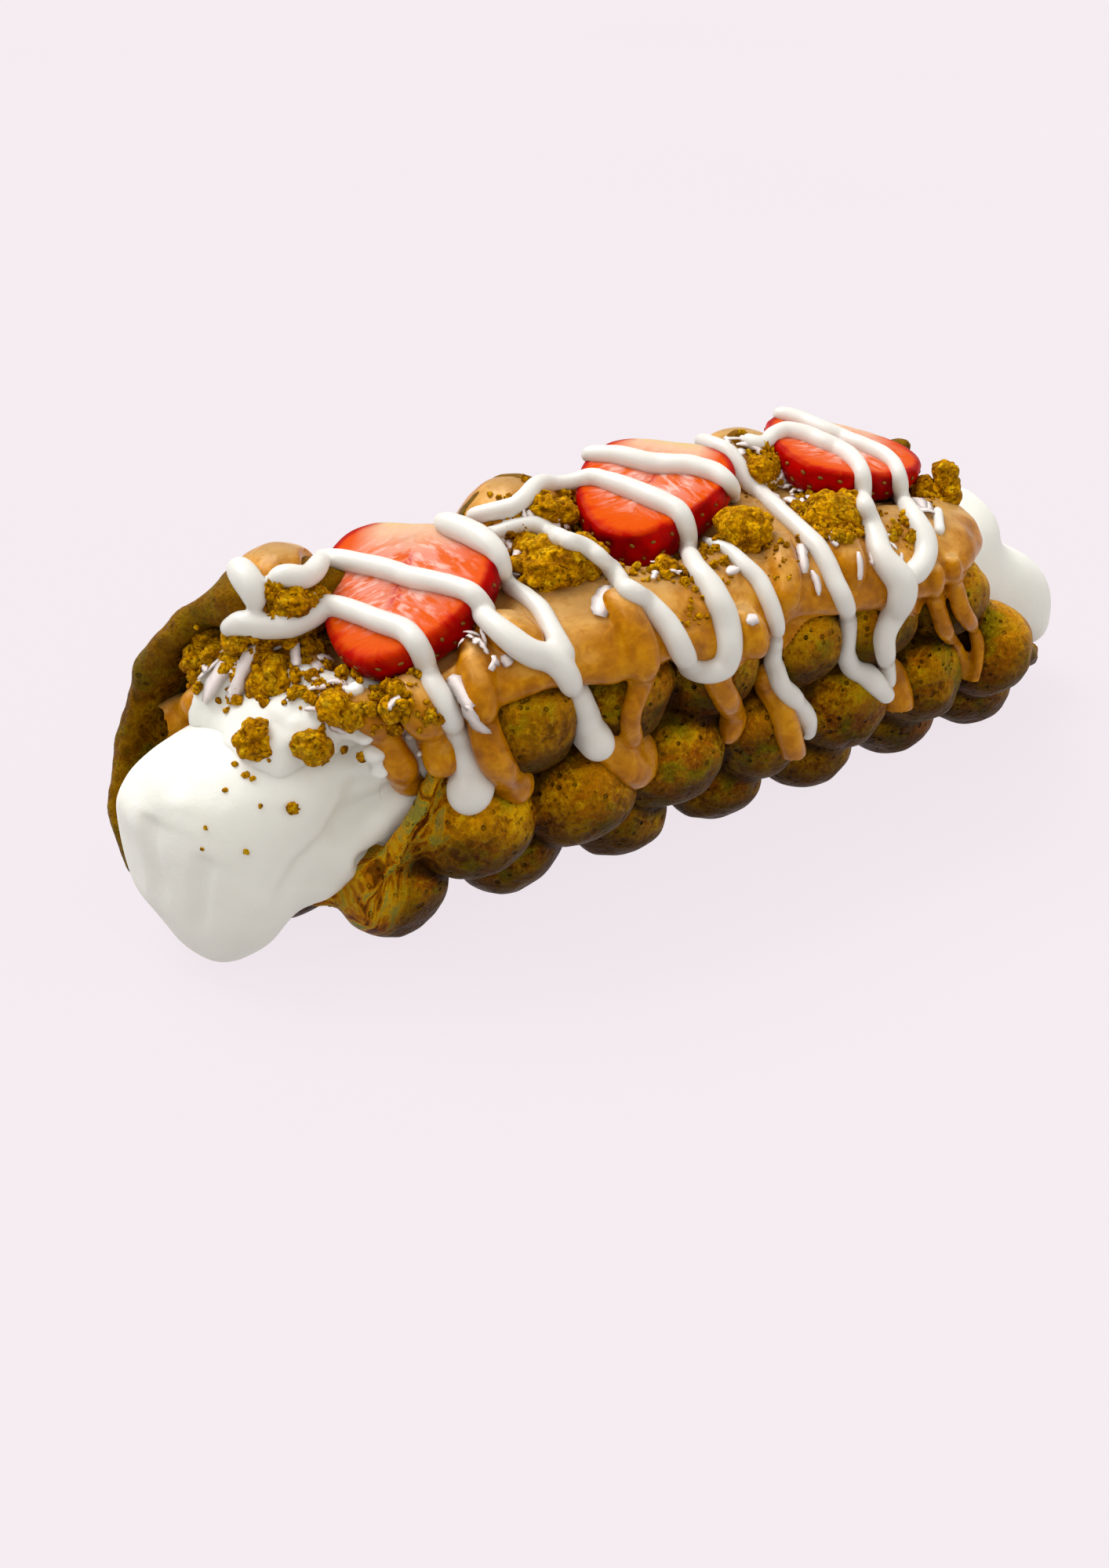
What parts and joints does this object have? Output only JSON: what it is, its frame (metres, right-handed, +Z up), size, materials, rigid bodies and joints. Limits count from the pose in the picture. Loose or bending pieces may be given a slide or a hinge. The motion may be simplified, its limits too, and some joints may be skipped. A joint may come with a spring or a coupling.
{
  "type": "bubble waffle roll",
  "caption": "Bubble waffle rolled into a tube, filled with whipped cream and topped with biscuit spread, strawberry slices, biscuit crumbs and white drizzle.",
  "frame": {"origin": "centre of the footprint of the bounding box, on the surface the roll rests on", "axes": "+X along the roll from the large open mouth to the far end, +Z up, -Y towards the side with the low lip and the drips"},
  "size_m": [0.221, 0.0746, 0.0796],
  "materials": {
    "waffle": "matte baked crust, golden brown with darker pits",
    "cream": "soft satin white",
    "spread": "glossy caramel brown",
    "strawberry": "wet glossy red",
    "biscuit": "matte crumbly golden brown"
  },
  "bodies": {
    "root": {"waffle": "waffle", "cream": "cream", "biscuit_spread": "spread", "strawberry_1": "strawberry", "strawberry_2": "strawberry", "strawberry_3": "strawberry", "biscuit_chunk_1": "biscuit", "biscuit_chunk_2": "biscuit", "biscuit_chunk_3": "biscuit", "biscuit_chunk_4": "biscuit"}
  },
  "joints": []
}
